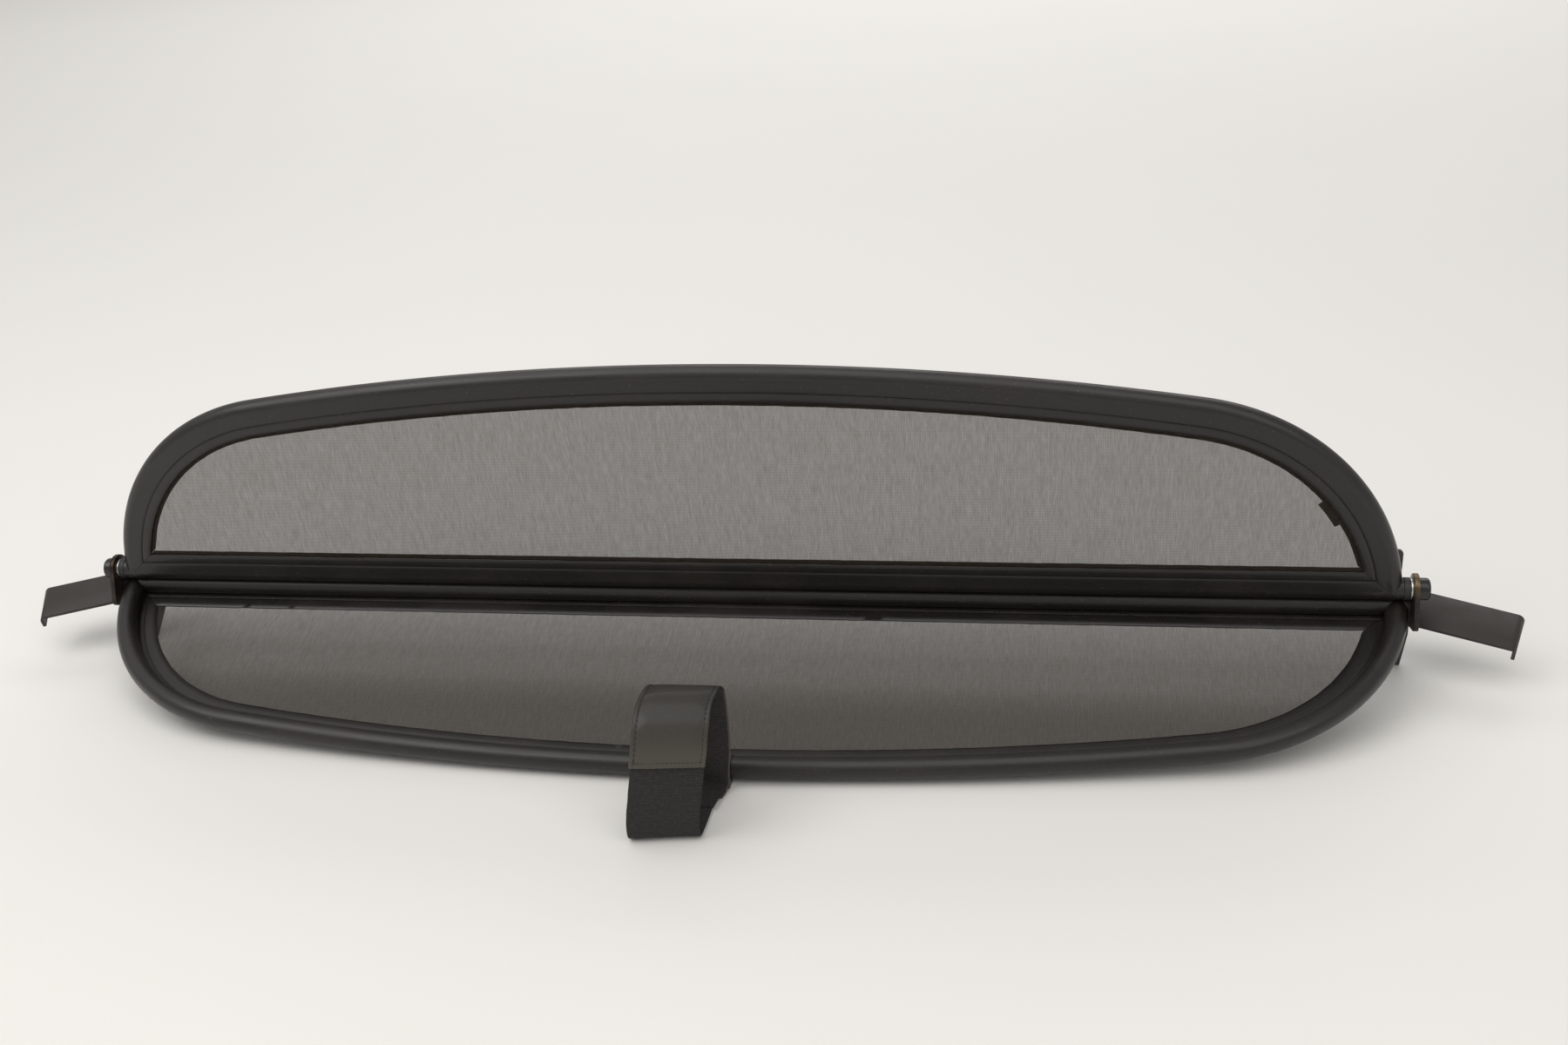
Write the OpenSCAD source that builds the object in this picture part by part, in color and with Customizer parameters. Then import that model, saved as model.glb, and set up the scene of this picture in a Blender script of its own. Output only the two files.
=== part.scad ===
// Folding wind deflector for an open car: two bowed tube frames with net,
// joined by pivot bolts at the ends of their rails, standing open on a floor.
// Millimetres, +X to the right end, +Y to the back, +Z up.
// The frames are drawn about the hinge axis and then set on the floor.

/* [Frames] */
// Half width of the upper frame, to the corner of its tube centre lines
upper_half_width = 561.5; // [450:0.5:650]
// Half width of the lower frame, to the corner of its tube centre lines
lower_half_width = 568.5; // [567:0.1:569.5]
// Depth of each bow, from its rail to the middle of its crown
bow_depth = 198.5; // [190:0.5:215]
// Radius of the long crown, on the tube's centre line
crown_radius = 2600; // [2450:10:2750]
// Radius of the two big corners, on the tube's centre line
corner_radius = 188; // [150:1:190]
// Inward lean of the two short sides, in degrees
side_lean = 6.8; // [5:0.1:8]

/* [Tube and cover] */
// Outside diameter of the steel tube
tube_d = 16; // [12:0.5:18]
// Wall of the steel tube
tube_wall = 1.5; // [1:0.1:2.5]
// Thickness of the leatherette
skin = 1.2; // [0.8:0.1:1.6]
// Distance from the tube's centre line to the edge of the front flap
front_flap_reach = 21; // [17:0.5:24]
// Distance from the tube's centre line to the edge of the rear flap
rear_flap_reach = 24.3; // [18:0.1:30]
// Thickness of the net
net_thickness = 0.6; // [0.4:0.1:1]
// Distance from the tube's centre line to the net's hidden edge
net_edge = 10.2; // [9.8:0.1:14]

/* [Pose] */
// Rise of the lower frame towards the hinge, in degrees
lower_tilt = 15.5; // [10:0.5:20]
// Angle of the upper frame above the ground behind it, in degrees
upper_angle = 95; // [88:0.5:100]

/* [Pivots] */
// Thickness of the end bush's flange
bush_flange = 5.5; // [3:0.5:8]
// Length of the bush's spigot inside the rail
bush_spigot = 18; // [10:1:30]
// Thickness of the plated washer
washer_thickness = 2; // [1:0.1:3]
// Diameter of the plated washer
washer_d = 18; // [16:0.5:20]
// Diameter of the pivot bolt's shank
bolt_d = 8; // [6:0.5:10]
// Width across the bolt head's flats
head_flats = 12; // [11:0.5:13]
// Height of the bolt's head
head_height = 5.3; // [4:0.1:6]
// Diameter of the cap over the bolt's head
cap_d = 18.6; // [17:0.2:20]
// Length of the cap
cap_length = 9; // [8:0.5:12]
// Wall of the cap
cap_wall = 1.8; // [1.2:0.1:2]

/* [Brackets] */
// Thickness of the pivot ear
ear_thickness = 4.2; // [3:0.1:6]
// Width of the pivot ear
ear_width = 26; // [22:1:30]
// Thickness of the leg plate and of the arm
plate_thickness = 3; // [2:0.1:4]
// Height of the stop finger above the hinge axis
finger_height = 28; // [20:1:34]
// Width of the stop finger
finger_width = 18; // [14:1:22]
// Width of the leg's foot on the floor
foot_width = 9; // [6:0.5:12]
// Height above the floor where the leg starts to taper
taper_height = 30; // [20:1:36]
// Distance from the rail's middle down to the arm's upper face
arm_drop = 12; // [10.5:0.5:14]
// Width of the arm
arm_width = 42; // [36:1:46]
// Length of the arm along its middle, from the ear to the lip
arm_length = 82; // [60:1:110]
// Forward sweep of the arm, in degrees
arm_sweep = 20; // [14:1:24]
// Distance of the arm's middle behind the rail, at the ear
arm_back = 12; // [8:0.5:14]
// Depth of the lip at the arm's end
lip_depth = 12; // [8:0.5:18]
// Outside radius of the lip's bend
lip_bend = 6; // [4.5:0.5:7]
// Length of the arm's tongue behind the leg plate
tongue_length = 22; // [12:1:26]

/* [Strap and tab] */
// Width of the strap
strap_width = 57; // [40:1:80]
// Shift of the strap from the middle, towards the right
strap_shift = 5; // [-100:1:100]
// Thickness of one layer of the strap
strap_layer = 1.8; // [1.2:0.1:2]
// Height of the loop's crest above the hinge axis
strap_crest = 22; // [10:1:30]
// Depth of the loop, from its back wall to its front
strap_depth = 64; // [58:1:90]
// Height above the hinge axis of the leatherette's front end, below zero
leather_end = -29; // [-45:1:-15]
// Length of the tab behind the right side of the net
tab_length = 30; // [15:1:45]
// Reach of the tab beyond the rear flap's edge
tab_reach = 5; // [3:0.5:12]

/* [Hidden] */
$fn = 96;
// Radius of the ear's lower corners
ear_round = 5;
// Gap left between a cover and the piece that it closes on
slip = 0.05;
// Gap left between pieces that turn against each other
run_gap = 0.1;
// Gap left between the two frames' covers
fold_gap = 0.3;
// Steps in a full turn on the long crown
crown_fn = 720;
// Least length of a straight side
side_least = 2;
// Length by which each straight or long run starts inside a corner's bend
run_in = 1.5;
// How much deeper the skin of that run lies
run_inset = 0.03;

tube_r = tube_d / 2;
sleeve_r = tube_r + slip;
cover_r = sleeve_r + skin;
rail_pitch = 2 * cover_r + fold_gap;
// Reach of the blocks that trim a covered end
cut_reach = 1.65 * rear_flap_reach;

// Layers of the flap, measured towards the flush side
flush_step = 0.15;
flap_front_n = cover_r - flush_step;
net_room = net_thickness + 2 * slip;
flap_net_n = flap_front_n - skin - net_room;
flap_rear_n = flap_net_n - skin;

// Turn of each frame from the drawing plane, about the hinge axis
lower_turn = 180 + lower_tilt;
rail_y = rail_pitch * sin(lower_tilt);
rail_z = -rail_pitch * cos(lower_tilt);
front_y = rail_y - bow_depth * cos(lower_tilt);
front_z = rail_z - bow_depth * sin(lower_tilt);
wrap_in = cover_r + 0.3;
wrap_r = cover_r + slip + strap_layer - 0.3;
floor_z = front_z - wrap_r;

// Places along the hinge axis, from the middle to the right end
rail_end = upper_half_width + cover_r / cos(side_lean) + 0.2;
bush_end = rail_end + bush_flange;
washer_end = bush_end + washer_thickness;
ear_in = washer_end + run_gap;
ear_out = ear_in + ear_thickness;
head_in = ear_out + run_gap;
cap_in = ear_out + 3 * run_gap;
cap_end = cap_in + cap_length;

// Leg plate, upright behind both rails
plate_y = rail_y + cover_r + fold_gap;
finger_in = rail_end + 1 - finger_width;
leg_in = finger_in;
leg_out = ear_out - 0.4;
foot_in = (leg_in + leg_out) / 2 + 1;

// Arm, in the lower frame's plane; its upper face lies at arm_n
arm_n = rail_pitch + arm_drop;
ear_bottom = arm_n + plate_thickness;
arm_reach = arm_length + lip_bend;

// Strap loop, as circles in the upright plane across the rail
swing_r = bow_depth + cover_r;
loop_back_y = -(swing_r + 0.65 + strap_layer + slip);
loop_front_y = loop_back_y - strap_depth;
crest_r = 10.2;
toe_r = 8;
heel_r = 6;
waist_r = 7.2;
loop_crest = [loop_back_y - crest_r, strap_crest - crest_r, crest_r];
loop_waist = [loop_back_y - waist_r, floor_z + 38, waist_r];
loop_heel = [front_y - wrap_r - heel_r, floor_z + heel_r, heel_r];
loop_toe = [loop_front_y + toe_r, floor_z + toe_r, toe_r];

// Outermost places, which set the origin under the middle of the whole
loop_low_y = loop_front_y;
arm_edge_slope = tan(arm_sweep);
arm_back_h = arm_back + (arm_width / 2) / cos(arm_sweep) + tongue_length * arm_edge_slope;
arm_high_y = arm_back_h * cos(lower_tilt) + (arm_n + plate_thickness) * sin(lower_tilt);
hinge_y = -(loop_low_y + arm_high_y) / 2;
hinge_z = -floor_z;

// Bow geometry for a half width w: straight side left by a corner of radius r,
// the corner's radius, which a wide frame limits, the side's length, the
// corner's centre, and the angle at which corner and crown meet
function side_left(w, r) =
    let (
        ax = w - r * cos(side_lean),
        ay = crown_radius - bow_depth - r * sin(side_lean),
        b = ay * cos(side_lean) - ax * sin(side_lean),
        c = ax * ax + ay * ay - pow(crown_radius - r, 2)
    )
    sqrt(b * b - c) - b;
function corner_r(w) =
    side_left(w, corner_radius) > side_least ? corner_radius
    : max([for (r = [corner_radius / 2:corner_radius]) side_left(w, r) > side_least ? r : 0]);
function side_length(w) = side_left(w, corner_r(w));
function corner_centre(w) =
    let (s = side_length(w))
    [w - s * sin(side_lean) - corner_r(w) * cos(side_lean),
     s * cos(side_lean) - corner_r(w) * sin(side_lean)];
function crown_start(w) =
    atan2(corner_centre(w)[1] + crown_radius - bow_depth, corner_centre(w)[0]);

// Places a frame that is drawn with its rail on X and its bow towards +Y,
// its flush side up
module lower_place() {
    translate([0, hinge_y, hinge_z]) rotate([lower_turn, 0, 0]) children();
}
module lower_frame_place() {
    lower_place() translate([0, 0, rail_pitch]) children();
}
module upper_place() {
    translate([0, hinge_y, hinge_z]) rotate([upper_angle, 0, 0]) children();
}
module upright_place() {
    translate([0, hinge_y, hinge_z]) children();
}
module both_ends() {
    children();
    mirror([1, 0, 0]) children();
}

// Sections of the swept pieces: x points away from the frame's middle.
// A run that starts inside a bend has its skin e deeper there.
module tube_section(e) {
    difference() {
        circle(r = tube_r - e);
        circle(r = tube_r - tube_wall + e);
    }
}
module cover_section(e) {
    difference() {
        union() {
            circle(r = cover_r - e);
            translate([-rear_flap_reach + e, flap_rear_n + e])
                square([rear_flap_reach - e, flap_front_n - flap_rear_n - 2 * e]);
        }
        circle(r = sleeve_r + e);
        translate([-rear_flap_reach - 1, flap_net_n - e])
            square([rear_flap_reach + 1 - net_edge + 0.3, net_room + 2 * e]);
        translate([-rear_flap_reach - 1, flap_net_n - e])
            square([rear_flap_reach + 1 - front_flap_reach + e, net_room + skin + 1]);
    }
}

// Sweeps a section along the long crown, into both corners
module crown_sweep(w) {
    start = crown_start(w) - run_in / crown_radius * 180 / PI;
    translate([0, bow_depth - crown_radius, 0]) rotate([0, 0, start])
        rotate_extrude(angle = 180 - 2 * start, $fn = crown_fn)
            translate([crown_radius, 0]) children();
}
// Sweeps a section round the right corner
module corner_sweep(w) {
    c = corner_centre(w);
    translate([c[0], c[1], 0]) rotate([0, 0, side_lean])
        rotate_extrude(angle = crown_start(w) - side_lean, $fn = crown_fn / 3)
            translate([corner_r(w), 0]) children();
}
// Sweeps a section down the right side, on past the rail's line
module side_sweep(w, run_on) {
    from = side_length(w) + run_in;
    translate([w, 0, 0]) rotate([0, 0, side_lean]) translate([0, from, 0])
        rotate([90, 0, 0]) linear_extrude(from + run_on) children();
}
module rail_sweep(half) {
    rotate([0, 0, -90]) translate([0, half, 0]) rotate([90, 0, 0])
        linear_extrude(2 * half) children();
}
// Round bar along the rail's line, from one place on X to another
module rod(r, from, to) {
    translate([from, 0, 0]) rotate([0, 90, 0]) cylinder(r = r, h = to - from);
}

// Block on one side of the corner's mitre; keep = 1 takes the bow's side away
module mitre_block(w, keep) {
    translate([w, 0, 0]) rotate([0, 0, 135 + side_lean / 2])
        translate([-cut_reach, keep > 0 ? -1.5 * cut_reach : 0, -cut_reach])
            cube([2.4 * cut_reach, 1.5 * cut_reach, 2 * cut_reach]);
}

// Pieces that the two frames share
module bow_tube(w) {
    color([0.30, 0.31, 0.32]) union() {
        crown_sweep(w) tube_section(run_inset);
        both_ends() difference() {
            union() {
                corner_sweep(w) tube_section(0);
                side_sweep(w, 0) tube_section(run_inset);
            }
            translate([w - 2 * cut_reach, -2 * cut_reach, -cut_reach])
                cube([4 * cut_reach, 2 * cut_reach + sleeve_r, 2 * cut_reach]);
        }
    }
}
module rail_tube(half) {
    color([0.30, 0.31, 0.32]) rail_sweep(half) tube_section(0);
}
module bow_cover(w, end) {
    color([0.09, 0.09, 0.09]) union() {
        crown_sweep(w) cover_section(run_inset);
        both_ends() {
            difference() {
                corner_sweep(w) cover_section(0);
                mitre_block(w, 0);
                rod(sleeve_r - run_inset, w - 1, w + cut_reach);
            }
            difference() {
                side_sweep(w, 2 * cover_r) cover_section(run_inset);
                mitre_block(w, 0);
                rod(sleeve_r - run_inset, w - 1, w + cut_reach);
                translate([end - slip, -cut_reach, -cut_reach])
                    cube([cut_reach, 2 * cut_reach, 2 * cut_reach]);
            }
        }
    }
}
module rail_cover(w, end) {
    color([0.09, 0.09, 0.09]) difference() {
        rail_sweep(w + 2 * cover_r) cover_section(0);
        both_ends() mitre_block(w, 1);
        both_ends() translate([end - slip, -cut_reach, -cut_reach])
            cube([2 * cut_reach, 2 * cut_reach, 2 * cut_reach]);
    }
}
// Flat net: the bow's outline, drawn in by the distance of the net's edge
function arc_points(c, r, from, to, steps) = [
    for (i = [1:steps])
        let (a = from + (to - from) * i / steps)
        [c[0] + r * cos(a), c[1] + r * sin(a)]
];
function net_half(w) =
    let (
        c = corner_centre(w),
        rc = corner_r(w) - net_edge,
        low = max(side_lean, asin((net_edge - c[1]) / rc)),
        knee = [c[0] + rc * cos(low), c[1] + rc * sin(low)],
        base_x = knee[0] + (knee[1] - net_edge) * tan(side_lean)
    )
    concat(
        low > side_lean ? [knee] : [[base_x, net_edge], knee],
        arc_points(c, rc, low, crown_start(w), 16),
        arc_points([0, bow_depth - crown_radius], crown_radius - net_edge, crown_start(w), 90, 10)
    );
function flipped(points) = [for (i = [len(points) - 2:-1:0]) [-points[i][0], points[i][1]]];
module net_sheet(w) {
    half = net_half(w);
    color([0.23, 0.22, 0.21, 0.75]) translate([0, 0, flap_net_n + slip])
        linear_extrude(net_thickness) polygon(concat(half, flipped(half)));
}

// Bracket pieces, drawn for the right end
module pivot_ear_shape() {
    color([0.24, 0.20, 0.16]) difference() {
        translate([ear_in, 0, 0]) rotate([0, 90, 0]) linear_extrude(ear_thickness)
            difference() {
                rotate(-lower_tilt) union() {
                    circle(d = ear_width);
                    translate([0, -ear_width / 2]) square([ear_bottom - ear_round, ear_width]);
                    translate([0, ear_round - ear_width / 2])
                        square([ear_bottom, ear_width - 2 * ear_round]);
                    for (side = [-1, 1])
                        translate([ear_bottom - ear_round, side * (ear_width / 2 - ear_round)])
                            circle(r = ear_round);
                }
                circle(d = bolt_d + 2 * slip);
            }
        translate([ear_in - 1, plate_y, -2 * ear_width])
            cube([ear_thickness + 2, 2 * ear_width, 4 * ear_width]);
    }
}
module leg_plate_shape() {
    step_z = ear_width / 2 - 3;
    tip = 4;
    color([0.12, 0.12, 0.12]) translate([0, plate_y + plate_thickness, 0]) rotate([90, 0, 0])
        linear_extrude(plate_thickness) union() {
            polygon([
                [finger_in, finger_height - tip], [finger_in, floor_z + taper_height + 2],
                [foot_in, floor_z], [foot_in + foot_width, floor_z],
                [leg_out, floor_z + taper_height], [leg_out, step_z],
                [finger_in + finger_width, step_z], [finger_in + finger_width, finger_height - tip]
            ]);
            for (x = [finger_in + tip, finger_in + finger_width - tip])
                translate([x, finger_height - tip]) circle(r = tip);
            translate([finger_in + tip, finger_height - 2 * tip])
                square([finger_width - 2 * tip, 2 * tip]);
        }
}
// The arm's side view: flat strip, rounded bend and lip
module arm_profile() {
    start = -(tongue_length + 40);
    difference() {
        union() {
            translate([start, 0]) square([arm_length - start, plate_thickness]);
            translate([arm_length, lip_bend]) circle(r = lip_bend);
            translate([arm_reach - plate_thickness, lip_bend])
                square([plate_thickness, lip_depth - lip_bend]);
        }
        translate([arm_length, lip_bend]) circle(r = lip_bend - plate_thickness);
        translate([start, plate_thickness])
            square([arm_length - start + lip_bend - plate_thickness, 2 * lip_depth]);
    }
}
module arm_shape() {
    tongue_edge = -(plate_y + plate_thickness - (arm_n) * sin(lower_tilt)) / cos(lower_tilt) - 0.4;
    color([0.13, 0.12, 0.12]) difference() {
        translate([ear_out, -arm_back, arm_n]) rotate([0, 0, arm_sweep])
            translate([0, arm_width / 2, 0]) rotate([90, 0, 0])
                linear_extrude(arm_width) arm_profile();
        translate([ear_out - 2 * arm_width, tongue_edge, arm_n - arm_width / 2])
            cube([2 * arm_width, 2 * arm_width, 2 * arm_width]);
        translate([ear_out - tongue_length - 2 * arm_width, -3 * arm_width, arm_n - arm_width / 2])
            cube([2 * arm_width, 6 * arm_width, 2 * arm_width]);
    }
}
module right_pivot_ear() { upright_place() pivot_ear_shape(); }
module left_pivot_ear() { upright_place() mirror([1, 0, 0]) pivot_ear_shape(); }
module right_leg_plate() { upright_place() leg_plate_shape(); }
module left_leg_plate() { upright_place() mirror([1, 0, 0]) leg_plate_shape(); }
module right_arm() { lower_place() arm_shape(); }
module left_arm() { lower_place() mirror([1, 0, 0]) arm_shape(); }

// Frames
module lower_bow_tube() { lower_frame_place() bow_tube(lower_half_width); }
module lower_rail_tube() { lower_frame_place() rail_tube(ear_in); }
module lower_bow_cover() { lower_frame_place() bow_cover(lower_half_width, ear_in); }
module lower_rail_cover() { lower_frame_place() rail_cover(lower_half_width, ear_in); }
module lower_net() { lower_frame_place() net_sheet(lower_half_width); }
module upper_bow_tube() { upper_place() bow_tube(upper_half_width); }
module upper_rail_tube() { upper_place() rail_tube(rail_end); }
module upper_bow_cover() { upper_place() bow_cover(upper_half_width, rail_end); }
module upper_rail_cover() { upper_place() rail_cover(upper_half_width, rail_end); }
module upper_net() { upper_place() net_sheet(upper_half_width); }

// Pivot pieces, turned about the hinge axis and drawn for the right end
module end_bush_shape() {
    color([0.10, 0.10, 0.11]) difference() {
        union() {
            rod(cover_r + 0.3, rail_end, bush_end);
            rod(tube_r - tube_wall - slip, rail_end - bush_spigot, rail_end + 0.5);
        }
        rod(bolt_d / 2 + slip, rail_end - bush_spigot - 1, bush_end + 1);
    }
}
module washer_shape() {
    color([0.78, 0.79, 0.80]) difference() {
        rod(washer_d / 2, bush_end, washer_end);
        rod(bolt_d / 2 + 2 * slip, bush_end - 1, washer_end + 1);
    }
}
module pivot_bolt_shape() {
    color([0.45, 0.44, 0.42]) union() {
        rod(bolt_d / 2, rail_end - bush_spigot + 2, head_in + 0.5);
        translate([head_in, 0, 0]) rotate([0, 90, 0])
            cylinder(d = head_flats / cos(30), h = head_height, $fn = 6);
    }
}
module bolt_cap_shape() {
    round_r = 3;
    color([0.07, 0.07, 0.08]) translate([cap_in, 0, 0]) rotate([0, 90, 0]) rotate_extrude()
        difference() {
            union() {
                square([cap_d / 2, cap_length - round_r]);
                square([cap_d / 2 - round_r, cap_length]);
                translate([cap_d / 2 - round_r, cap_length - round_r]) circle(r = round_r);
            }
            translate([-1, -1]) square([cap_d / 2 - cap_wall + 1, cap_length - cap_wall + 1]);
            translate([-cap_d, -1]) square([cap_d, 2 * cap_length]);
        }
}
module right_end_bush() { upper_place() end_bush_shape(); }
module left_end_bush() { upper_place() mirror([1, 0, 0]) end_bush_shape(); }
module right_washer() { upper_place() washer_shape(); }
module left_washer() { upper_place() mirror([1, 0, 0]) washer_shape(); }
module right_pivot_bolt() { upper_place() pivot_bolt_shape(); }
module left_pivot_bolt() { upper_place() mirror([1, 0, 0]) pivot_bolt_shape(); }
module right_bolt_cap() { upper_place() bolt_cap_shape(); }
module left_bolt_cap() { upper_place() mirror([1, 0, 0]) bolt_cap_shape(); }

// Tab of tape sewn behind the rear flap at the right corner
module hold_tab() {
    c = corner_centre(upper_half_width);
    r = corner_r(upper_half_width);
    turn = tab_length / r * 180 / PI;
    middle = 35.2;
    color([0.05, 0.05, 0.05]) upper_place() translate([c[0], c[1], 0])
        rotate([0, 0, middle - turn / 2]) rotate_extrude(angle = turn, $fn = crown_fn / 3)
            translate([r - rear_flap_reach - tab_reach, flap_rear_n - 1.5])
                square([rear_flap_reach + tab_reach - net_edge, 1.4]);
}

// Strap: the loop lies in front of the crown's swing and rests on the floor
module loop_disc(p, grow) {
    translate([p[0], p[1]]) circle(r = p[2] + grow, $fn = 48);
}
module loop_outline(grow) {
    hull() {
        loop_disc(loop_crest, grow);
        loop_disc(loop_waist, grow);
        loop_disc(loop_toe, grow);
    }
    hull() {
        loop_disc(loop_waist, grow);
        loop_disc(loop_heel, grow);
        loop_disc(loop_toe, grow);
    }
}
module across_strap() {
    upright_place() translate([strap_shift - strap_width / 2, 0, 0]) rotate([90, 0, 90])
        linear_extrude(strap_width) children();
}
module strap_rail_wrap() {
    color([0.10, 0.10, 0.10]) across_strap() difference() {
        union() {
            translate([front_y, front_z]) circle(r = wrap_r);
            polygon([
                [front_y - wrap_r * cos(40), front_z + wrap_r * sin(40)],
                [loop_heel[0] + heel_r - 5, floor_z + 24],
                [loop_heel[0], floor_z + heel_r],
                [front_y - wrap_r * cos(40), front_z - wrap_r * sin(40)]
            ]);
        }
        translate([front_y, front_z]) circle(r = wrap_in);
        translate([front_y, front_z]) rotate(lower_tilt) translate([0, -flap_front_n - 0.4])
            square([30, flap_front_n - flap_rear_n + 0.7]);
        loop_outline(slip);
    }
}
module strap_webbing() {
    color([0.06, 0.06, 0.07]) across_strap() difference() {
        loop_outline(0);
        loop_outline(-strap_layer);
    }
}
module strap_leather() {
    color([0.11, 0.11, 0.11]) across_strap() difference() {
        loop_outline(strap_layer + slip);
        loop_outline(slip);
        translate([loop_front_y - 20, floor_z - 20])
            square([strap_depth + 80, leather_end - floor_z + 20]);
    }
}

lower_bow_tube();
lower_rail_tube();
lower_bow_cover();
lower_rail_cover();
lower_net();
right_pivot_ear();
left_pivot_ear();
right_leg_plate();
left_leg_plate();
right_arm();
left_arm();
strap_rail_wrap();
strap_leather();
strap_webbing();
upper_bow_tube();
upper_rail_tube();
upper_bow_cover();
upper_rail_cover();
upper_net();
right_end_bush();
left_end_bush();
right_washer();
left_washer();
right_pivot_bolt();
left_pivot_bolt();
right_bolt_cap();
left_bolt_cap();
hold_tab();
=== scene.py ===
import math
import bmesh
import bpy
from mathutils import Matrix, Vector, noise


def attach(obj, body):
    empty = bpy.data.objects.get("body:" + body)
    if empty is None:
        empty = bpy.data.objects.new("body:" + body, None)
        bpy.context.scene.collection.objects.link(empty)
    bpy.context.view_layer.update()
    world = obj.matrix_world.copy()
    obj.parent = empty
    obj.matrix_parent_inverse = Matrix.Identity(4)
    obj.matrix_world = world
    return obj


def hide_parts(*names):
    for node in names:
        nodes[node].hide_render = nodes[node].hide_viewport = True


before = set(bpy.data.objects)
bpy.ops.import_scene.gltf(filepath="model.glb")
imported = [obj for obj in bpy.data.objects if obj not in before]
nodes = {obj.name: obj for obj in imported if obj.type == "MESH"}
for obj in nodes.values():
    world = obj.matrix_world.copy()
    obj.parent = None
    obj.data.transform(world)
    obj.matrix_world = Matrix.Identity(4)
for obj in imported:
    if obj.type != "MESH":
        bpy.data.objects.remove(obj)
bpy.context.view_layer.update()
MM = 0.001

# Sizes of the deflector, as in the part's source: in millimetres, but for the hinge's place
HINGE = Vector((0.0, 112.2013, 81.9631)) * MM
UPPER_TURN = math.radians(95.0)
LOWER_TURN = math.radians(195.5)
RAIL_PITCH = 18.8
UPPER_HALF = 561.5
LOWER_HALF = 568.5
BOW_DEPTH = 198.5
CROWN_R = 2600.0
CORNER_R = 188.0
LEAN = math.radians(6.8)
COVER_R = 9.25
FLAP_FRONT = 9.1
FLAP_REAR = 5.95
FRONT_REACH = 21.0
REAR_REACH = 24.3
STITCH_LINE = 12.2
NET_LEVEL = 7.55
# Pitch of the seams' stitches, and the cloth's edge from the tube's centre line
STITCH_PITCH = 3.4
NET_INSET = 17.6
# How far the covers are drawn past the corners before they are mitred, and the gap left there
RUN_OUT = 20.0
MITRE_GAP = 0.15
CUFF_R = 9.1
# Ends of the upper and the lower cover, and the ear's outer face
RAIL_END = 571.0
EAR_IN = 578.6
EAR_OUT = 582.82
# Underside of the arm, from the hinge, in the lower frame's plane
ARM_LEVEL = 30.8
# Leg plate's shoulder: where it starts along X, and its heights over the hinge, in metres
SHOULDER_FROM = 0.571015
SHOULDER_LOW, SHOULDER_HIGH = 0.008, 0.012
# Height of the floor, from the hinge
FLOOR_LEVEL = -HINGE.z / MM
TO_HINGE = Matrix.Translation(HINGE)

UPPER_PLACE = TO_HINGE @ Matrix.Rotation(UPPER_TURN, 4, "X")
LOWER_PLANE = TO_HINGE @ Matrix.Rotation(LOWER_TURN, 4, "X")
LOWER_PLACE = LOWER_PLANE @ Matrix.Translation((0, 0, RAIL_PITCH * MM))


# Shader helpers

def new_group(name, inputs, outputs):
    g = bpy.data.node_groups.new(name, "ShaderNodeTree")
    for label, kind, value in inputs:
        s = g.interface.new_socket(name=label, in_out="INPUT", socket_type=kind)
        s.default_value = value
    for label, kind in outputs:
        g.interface.new_socket(name=label, in_out="OUTPUT", socket_type=kind)
    return g, g.nodes.new("NodeGroupInput"), g.nodes.new("NodeGroupOutput")


def math_node(tree, op, a, b=None):
    n = tree.nodes.new("ShaderNodeMath")
    n.operation = op
    for i, v in enumerate((a, b)):
        if v is None:
            continue
        if isinstance(v, (int, float)):
            n.inputs[i].default_value = v
        else:
            tree.links.new(v, n.inputs[i])
    return n.outputs[0]


def map_range(tree, value, lo, hi, to_lo, to_hi):
    n = tree.nodes.new("ShaderNodeMapRange")
    tree.links.new(value, n.inputs["Value"])
    for key, v in (("From Min", lo), ("From Max", hi), ("To Min", to_lo), ("To Max", to_hi)):
        n.inputs[key].default_value = v
    return n.outputs["Result"]


def noise_node(tree, where, scale, detail=3.0, rough=0.55):
    n = tree.nodes.new("ShaderNodeTexNoise")
    n.inputs["Scale"].default_value = scale
    n.inputs["Detail"].default_value = detail
    n.inputs["Roughness"].default_value = rough
    tree.links.new(where, n.inputs["Vector"])
    return n.outputs["Fac"]


def mix_colour(tree, fac, a, b):
    n = tree.nodes.new("ShaderNodeMix")
    n.data_type = "RGBA"
    for key, v in ((0, fac), (6, a), (7, b)):
        if isinstance(v, tuple):
            n.inputs[key].default_value = (*v, 1.0)
        else:
            tree.links.new(v, n.inputs[key])
    return n.outputs[2]


def split(tree, where):
    n = tree.nodes.new("ShaderNodeSeparateXYZ")
    tree.links.new(where, n.inputs[0])
    return n.outputs


def scaled(tree, where, scale):
    n = tree.nodes.new("ShaderNodeMapping")
    n.inputs["Scale"].default_value = scale
    tree.links.new(where, n.inputs["Vector"])
    return n.outputs["Vector"]


def wave(tree, value, pitch):
    return math_node(tree, "SINE", math_node(tree, "MULTIPLY", value, 2 * math.pi / pitch))


def weave_map(tree):
    n = tree.nodes.new("ShaderNodeUVMap")
    n.uv_map = "weave"
    return n.outputs["UV"]


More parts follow.
